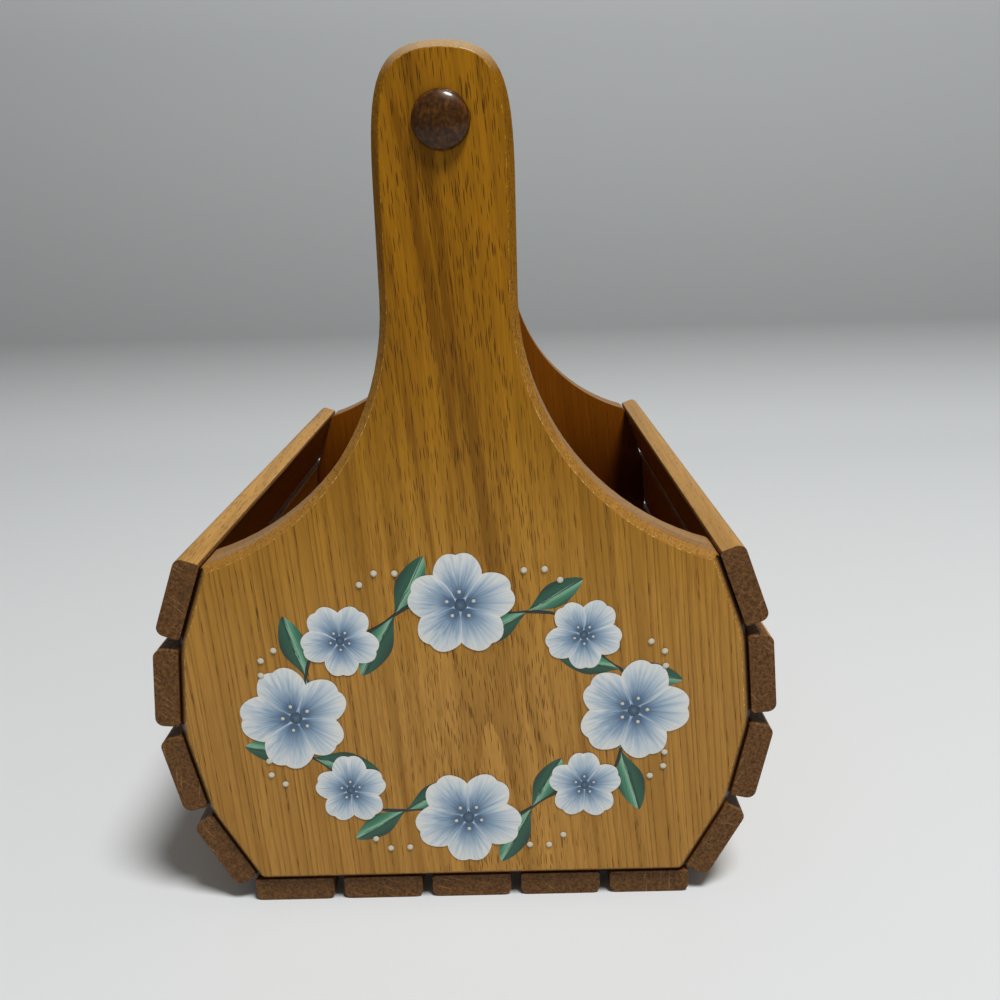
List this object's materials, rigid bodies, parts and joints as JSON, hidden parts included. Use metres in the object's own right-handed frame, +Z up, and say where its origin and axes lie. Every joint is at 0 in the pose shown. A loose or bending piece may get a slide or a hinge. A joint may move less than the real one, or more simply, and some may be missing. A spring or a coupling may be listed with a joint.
{
  "type": "wood slat basket",
  "caption": "Oak slat basket with bell-shaped end panels, slats nailed along their lower edges, and a dowel handle screwed between the tall necks under dark button plugs.",
  "frame": {"origin": "on the floor, at the centre of the basket's footprint", "axes": "+X across the width to the right, +Y from the front panel to the rear panel, +Z up"},
  "size_m": [0.215, 0.3014, 0.2885],
  "materials": {
    "panel_oak": "honey-stained oak, satin lacquer",
    "slat_oak": "honey-stained oak, satin lacquer, bare end grain",
    "dowel_oak": "turned oak, satin lacquer",
    "button_walnut": "dark walnut stain, gloss lacquer",
    "screw_steel": "zinc plated",
    "nail_steel": "bright steel"
  },
  "bodies": {
    "root": {"front_end_panel": "panel_oak", "rear_end_panel": "panel_oak", "handle_dowel": "dowel_oak", "front_button": "button_walnut", "rear_button": "button_walnut", "front_handle_screw": "screw_steel", "rear_handle_screw": "screw_steel", "bottom_slat_1": "slat_oak", "bottom_slat_2": "slat_oak", "bottom_slat_3": "slat_oak", "bottom_slat_4": "slat_oak", "bottom_slat_5": "slat_oak", "left_slat_1": "slat_oak", "left_slat_2": "slat_oak", "left_slat_3": "slat_oak", "left_slat_4": "slat_oak", "right_slat_1": "slat_oak", "right_slat_2": "slat_oak", "right_slat_3": "slat_oak", "right_slat_4": "slat_oak", "bottom_slat_1_front_nail": "nail_steel", "bottom_slat_1_rear_nail": "nail_steel", "bottom_slat_2_front_nail": "nail_steel", "bottom_slat_2_rear_nail": "nail_steel", "bottom_slat_3_front_nail": "nail_steel", "bottom_slat_3_rear_nail": "nail_steel", "bottom_slat_4_front_nail": "nail_steel", "bottom_slat_4_rear_nail": "nail_steel", "bottom_slat_5_front_nail": "nail_steel", "bottom_slat_5_rear_nail": "nail_steel", "left_slat_1_front_nail": "nail_steel", "left_slat_1_rear_nail": "nail_steel", "left_slat_2_front_nail": "nail_steel", "left_slat_2_rear_nail": "nail_steel", "left_slat_3_front_nail": "nail_steel", "left_slat_3_rear_nail": "nail_steel", "left_slat_4_front_nail": "nail_steel", "left_slat_4_rear_nail": "nail_steel", "right_slat_1_front_nail": "nail_steel", "right_slat_1_rear_nail": "nail_steel", "right_slat_2_front_nail": "nail_steel", "right_slat_2_rear_nail": "nail_steel", "right_slat_3_front_nail": "nail_steel", "right_slat_3_rear_nail": "nail_steel", "right_slat_4_front_nail": "nail_steel", "right_slat_4_rear_nail": "nail_steel"}
  },
  "joints": []
}
